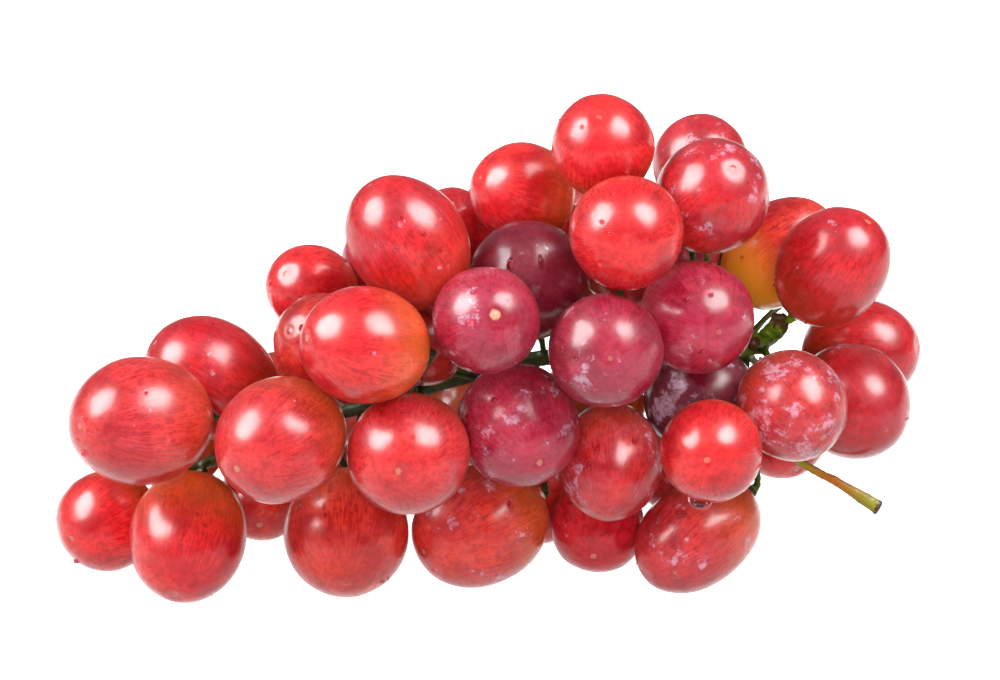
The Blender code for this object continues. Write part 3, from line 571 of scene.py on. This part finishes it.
def rounded_stem(context, settings):
    """The solid stem as an object of small faces, with its edges rounded."""
    mesh = frame["nodes"]["stem"].data.copy()
    mesh.name = "stem_bark"
    mesh.materials.clear()
    shape = bmesh.new()
    shape.from_mesh(mesh)
    bmesh.ops.remove_doubles(shape, verts=shape.verts, dist=1e-6)
    shape.to_mesh(mesh)
    shape.free()
    piece = link("stem_bark", mesh)
    remesh = piece.modifiers.new("grain", "REMESH")
    remesh.mode = "VOXEL"
    remesh.voxel_size = settings.grain
    rounded = piece.modifiers.new("round", "SMOOTH")
    rounded.factor = 0.5
    rounded.iterations = 3
    fine = bpy.data.meshes.new_from_object(piece.evaluated_get(context.evaluated_depsgraph_get()))
    piece.modifiers.clear()
    piece.data = fine
    return piece


def add_warts(shape, settings):
    """Raises the bark's bumps, and marks how dry the stem is, how bare, and how much painted shade it takes
    deep in the bunch.
    """
    dry = shape.verts.layers.float.new("dry")
    bare = shape.verts.layers.float.new("bare")
    heart = shape.verts.layers.float.new("heart")
    stalk = shape.verts.layers.float.new("stalk")
    run = STALK_END - STALK_ROOT
    for vert in shape.verts:
        from_knot = (vert.co - KNOT).length
        near = min((vert.co - tip).length for tip in BROKEN_TIPS)
        down = (vert.co - STALK_ROOT).dot(run) / run.length_squared
        beside = (vert.co - STALK_ROOT - run * down).length
        bump = sum(noise.noise(vert.co * count) * share for count, share in WARTS) * settings.wart
        bump += noise.noise(vert.co * KNOT_WARTS) * settings.knot_wart * bell(from_knot, KNOT_REACH)
        vert[dry] = bell(near, DRY_REACH)
        if beside < STALK_REACH and down > STALK_START:
            bump += settings.stalk_skin
            end = max(0.0, min(1.0, (down - DRY_START) / DRY_FADE))
            vert[dry] = max(vert[dry], end * MOST_DRY)
            vert[bare] = bell(down - ORANGE_MIDDLE, ORANGE_WIDTH)
            vert[stalk] = MOST_OLIVE
        else:
            # Painted shade: more of it the farther the stem lies from the knot, into the heart of the bunch
            vert[heart] = MOST_SHADED * (1 - bell(from_knot, GREEN_REACH))
        vert.co += vert.normal * bump


class GRAPES_OT_stem(bpy.types.Operator):
    """Makes the stem from the solid one, rounded and warty"""

    bl_idname = "grapes.stem"
    bl_label = "Stem"

    def execute(self, context):
        settings = context.scene.stem_settings
        piece = rounded_stem(context, settings)
        shape = bmesh.new()
        shape.from_mesh(piece.data)
        shape.normal_update()
        add_warts(shape, settings)
        for face in shape.faces:
            face.smooth = True
        shape.to_mesh(piece.data)
        shape.free()
        piece.data.materials.clear()
        piece.data.materials.append(stem_bark(settings))
        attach(piece, "root")
        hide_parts("stem")
        return {"FINISHED"}


# Water drops

# The drops that stand out: grape, pixel across and down, width and height on the skin in millimetres
Drop = namedtuple("Drop", "grape x y width height")
DROPS = [
    Drop(1, 84, 453, 1.5, 1.7),
    Drop(1, 84, 418, 1.1, 1.5),
    Drop(3, 205, 526, 1.0, 1.0),
    Drop(4, 76, 561, 1.6, 1.1),
    Drop(6, 380, 338, 1.1, 1.1),
    Drop(6, 299, 327, 1.2, 1.6),
    Drop(8, 401, 218, 1.0, 1.0),
    Drop(8, 396, 247, 1.2, 1.0),
    Drop(8, 423, 234, 1.0, 1.0),
    Drop(8, 357, 202, 1.0, 1.4),
    Drop(9, 271, 282, 1.3, 1.7),
    Drop(11, 473, 292, 1.2, 1.2),
    Drop(11, 470, 323, 2.2, 1.9),
    Drop(11, 514, 324, 0.9, 0.9),
    Drop(12, 575, 358, 1.5, 1.0),
    Drop(12, 563, 349, 1.3, 1.4),
    Drop(12, 596, 388, 1.4, 1.0),
    Drop(13, 494, 400, 1.6, 1.3),
    Drop(14, 602, 222, 1.2, 1.1),
    Drop(14, 611, 234, 1.4, 1.2),
    Drop(14, 652, 240, 1.3, 1.0),
    Drop(14, 600, 264, 1.2, 2.4),
    Drop(14, 588, 201, 1.0, 1.2),
    Drop(17, 510, 264, 1.4, 3.0),
    Drop(17, 541, 262, 1.2, 3.4),
    Drop(20, 686, 300, 1.3, 1.3),
    Drop(20, 711, 295, 1.2, 1.0),
    Drop(20, 702, 353, 2.0, 1.4),
    Drop(26, 699, 504, 5.6, 3.0),
    Drop(28, 597, 451, 1.4, 3.2),
    Drop(28, 589, 466, 1.2, 2.2),
    Drop(28, 635, 441, 1.4, 1.6),
    Drop(29, 681, 514, 2.8, 2.0),
    Drop(31, 510, 506, 1.1, 2.8),
]

# Scattered drops are this much taller than wide, and keep clear of the other grapes (1 is a grape's skin),
# the stem and the floor
TALLNESS = 1.1
CLEAR_LEVEL, STEM_CLEARANCE, FLOOR_CLEARANCE = 1.1, 0.004, 0.001
# On skin that faces this nearly straight up or down, a drop has no longer way
LEAST_SLOPE = 0.05
BALL_AROUND, BALL_ROWS = 18, 12
DROP_SEED = 5


def level_in(grape, point):
    """How far out a point is in a grape, from 0 at its centre to 1 on its skin, and the way out."""
    local = grape.rows @ (np.array(point) - grape.centre) / grape.sizes
    level = np.linalg.norm(local)
    slope = grape.rows.T @ (local / grape.sizes)
    return level, Vector(slope / np.linalg.norm(slope))


def skin_at_pixel(grape, x, y):
    """The point of a grape's skin that shows at a pixel, or the nearest one on its edge, and the way out."""
    start = grape.rows @ (np.array(EYE) - grape.centre) / grape.sizes
    way = grape.rows @ np.array(at_pixel(x, y) - EYE) / grape.sizes
    nearest = -(start @ way) / (way @ way)
    miss = np.linalg.norm(start + way * nearest)
    back = math.sqrt(max(0.0, 1 - miss**2) / (way @ way))
    local = start + way * (nearest - back)
    point = grape.centre + grape.rows.T @ (local / np.linalg.norm(local) * grape.sizes)
    return Vector(point), level_in(grape, point)[1]


def add_drop(shape, ball, point, out, width, height, settings):
    """Adds one drop, shaped from a round ball: a dome on the skin, longest up and down."""
    up = Vector((0, 0, 1)) - out * out.z
    up = up.normalized() if up.length > LEAST_SLOPE else out.orthogonal().normalized()
    side = up.cross(out)
    turn = Matrix((side, up, out)).transposed().to_4x4()
    size = (width / 2, height / 2, (width + height) / 4 * settings.height)
    spot = Matrix.Translation(point) @ turn @ Matrix.Diagonal((*size, 1.0))
    made = [shape.verts.new(spot @ vert.co) for vert in ball.verts]
    for face in ball.faces:
        shape.faces.new([made[vert.index] for vert in face.verts]).smooth = True


def scatter_drops(shape, ball, grapes, settings):
    """Adds small drops all over the grapes, where they don't touch a neighbour, the stem or the floor."""
    rng = random.Random(DROP_SEED)
    stem_points = node_points("stem")
    for grape in grapes.values():
        others = [other for other in grapes.values() if other.name != grape.name]
        for _ in range(settings.count):
            way = Vector([rng.gauss(0, 1) for _ in range(3)]).normalized()
            size = settings.smallest + (settings.largest - settings.smallest) * rng.random() ** 2
            point = Vector(grape.centre + grape.rows.T @ (np.array(way) * grape.sizes))
            crowded = any(level_in(other, point)[0] < CLEAR_LEVEL for other in others)
            by_stem = nearest_distance(stem_points, point) < STEM_CLEARANCE
            if not crowded and not by_stem and point.z > FLOOR_CLEARANCE:
                out = level_in(grape, point)[1]
                add_drop(shape, ball, point, out, size * 2, size * 2 * TALLNESS, settings)


def water(settings):
    """Water that beads on the waxy skin. It is tinted, a painted shade that makes a drop darker and redder
    than the skin beside it in place of the dark rims that a clear drop shows.
    """
    material, shader = new_material("water drops")
    set_sockets(shader, {
        "Base Color": rgba(settings.shade_tint),
        "Roughness": 0.02,
        "IOR": 1.333,
        "Transmission Weight": 1.0,
    })
    return material


class GRAPES_OT_drops(bpy.types.Operator):
    """Adds the water drops: those that stand out, and small ones scattered over every grape"""

    bl_idname = "grapes.drops"
    bl_label = "Water Drops"

    def execute(self, context):
        settings = context.scene.drop_settings
        grapes = all_grapes()
        shape = bmesh.new()
        ball = bmesh.new()
        bmesh.ops.create_uvsphere(ball, u_segments=BALL_AROUND, v_segments=BALL_ROWS, radius=1.0)
        ball.verts.index_update()
        for drop in DROPS:
            point, out = skin_at_pixel(grapes[f"grape_{drop.grape:02d}"], drop.x, drop.y)
            add_drop(shape, ball, point, out, drop.width * MM, drop.height * MM, settings)
        scatter_drops(shape, ball, grapes, settings)
        ball.free()
        mesh = bpy.data.meshes.new("water_drops")
        shape.to_mesh(mesh)
        shape.free()
        mesh.materials.append(water(settings))
        piece = link("water_drops", mesh)
        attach(piece, "root")
        return {"FINISHED"}


# Stage

FLOOR_HALF = 3.0

# The softboxes: where each stands from the bunch, as (right, up, towards the eye), its width, the setting
# that holds its power and its share of that, and whether it lights the gloss, the matt colour or both
LEFT, RIGHT = (-0.742, 0.523, 0.421), (0.563, 0.616, 0.549)
Softbox = namedtuple("Softbox", "name direction width power share lights")
SOFTBOXES = (
    Softbox("left soft light", LEFT, 0.70, "fill", 1.0, "both"),
    Softbox("right soft light", RIGHT, 0.70, "fill", 1.0, "both"),
    Softbox("left gleam", LEFT, 0.75, "gleam", 1.0, "gloss"),
    Softbox("right gleam", RIGHT, 0.68, "gleam", 0.8, "gloss"),
    Softbox("front light", (0.0, -0.1, 1.0), 0.50, "front", 1.0, "matt"),
    Softbox("rear light", (0.0, 0.75, -1.0), 1.60, "rear", 1.0, "matt"),
)


def add_softbox(box, settings):
    """A round softbox a metre from the bunch, which faces it."""
    right, up, towards = box.direction
    way = (SIGHT_RIGHT * right + SIGHT_UP * up - SIGHT * towards).normalized()
    light = bpy.data.lights.new(box.name, "AREA")
    light.shape = "DISK"
    light.size = box.width
    light.energy = getattr(settings, box.power) * box.share
    lamp = bpy.data.objects.new(box.name, light)
    lamp.location = AIM + way
    lamp.rotation_mode = "QUATERNION"
    lamp.rotation_quaternion = way.to_track_quat("Z", "Y")
    lamp.visible_diffuse = box.lights != "gloss"
    lamp.visible_glossy = box.lights != "matt"
    bpy.context.scene.collection.objects.link(lamp)


def add_floor(settings):
    """White acrylic lit from below, as white as the picture's ground. It shows in the gloss, but adds nothing
    to the matt colours and throws no shadow."""
    material, shader = new_material("lit white acrylic")
    set_sockets(shader, {
        "Base Color": rgba(settings.floor),
        "Roughness": 0.9,
        "Specular IOR Level": 0.1,
        "Emission Color": rgba(settings.floor),
        "Emission Strength": settings.glow,
    })
    shape = bmesh.new()
    bmesh.ops.create_grid(shape, x_segments=1, y_segments=1, size=FLOOR_HALF)
    mesh = bpy.data.meshes.new("floor")
    shape.to_mesh(mesh)
    shape.free()
    mesh.materials.append(material)
    floor = link("floor", mesh)
    floor.visible_diffuse = False
    floor.visible_shadow = False


def add_camera(scene):
    """The photograph's camera."""
    lens = bpy.data.cameras.new("camera")
    lens.sensor_width = SENSOR_WIDTH
    lens.lens = PIXELS_PER_MM * SIGHT_REACH / MM / PICTURE_WIDTH * SENSOR_WIDTH
    lens.clip_start = 0.01
    camera = bpy.data.objects.new("camera", lens)
    camera.location = EYE
    camera.rotation_mode = "QUATERNION"
    camera.rotation_quaternion = (-SIGHT).to_track_quat("Z", "Y")
    scene.collection.objects.link(camera)
    scene.camera = camera
    scene.view_settings.view_transform = "Standard"


class GRAPES_OT_stage(bpy.types.Operator):
    """Sets the lit white floor, the white surroundings, the softboxes and the camera"""

    bl_idname = "grapes.stage"
    bl_label = "Stage"

    def execute(self, context):
        settings = context.scene.stage_settings
        add_floor(settings)
        world = bpy.data.worlds.new("white surroundings")
        world.use_nodes = True
        set_sockets(world.node_tree.nodes["Background"], {"Color": (1, 1, 1, 1), "Strength": settings.sky})
        context.scene.world = world
        for box in SOFTBOXES:
            add_softbox(box, settings)
        add_camera(context.scene)
        return {"FINISHED"}


class GRAPES_PT_panel(bpy.types.Panel):
    """Lists the makers of the bunch's pieces"""

    bl_idname = "GRAPES_PT_panel"
    bl_label = "Bunch of Grapes"
    bl_space_type = "VIEW_3D"
    bl_region_type = "UI"
    bl_category = "Grapes"

    def draw(self, context):
        for maker in MAKERS:
            self.layout.operator(maker.bl_idname)


MAKERS = (GRAPES_OT_grapes, GRAPES_OT_stem, GRAPES_OT_drops, GRAPES_OT_stage)
SETTINGS = {
    "grape_settings": GrapeSettings,
    "stem_settings": StemSettings,
    "drop_settings": DropSettings,
    "stage_settings": StageSettings,
}


def register():
    for kind in (*SETTINGS.values(), *MAKERS, GRAPES_PT_panel):
        bpy.utils.register_class(kind)
    for name, kind in SETTINGS.items():
        setattr(bpy.types.Scene, name, PointerProperty(type=kind))


def unregister():
    for name in SETTINGS:
        delattr(bpy.types.Scene, name)
    for kind in (GRAPES_PT_panel, *reversed(MAKERS), *SETTINGS.values()):
        bpy.utils.unregister_class(kind)


def main():
    register()
    bpy.ops.grapes.grapes()
    bpy.ops.grapes.stem()
    bpy.ops.grapes.drops()
    bpy.ops.grapes.stage()


if __name__ == "__main__":
    main()
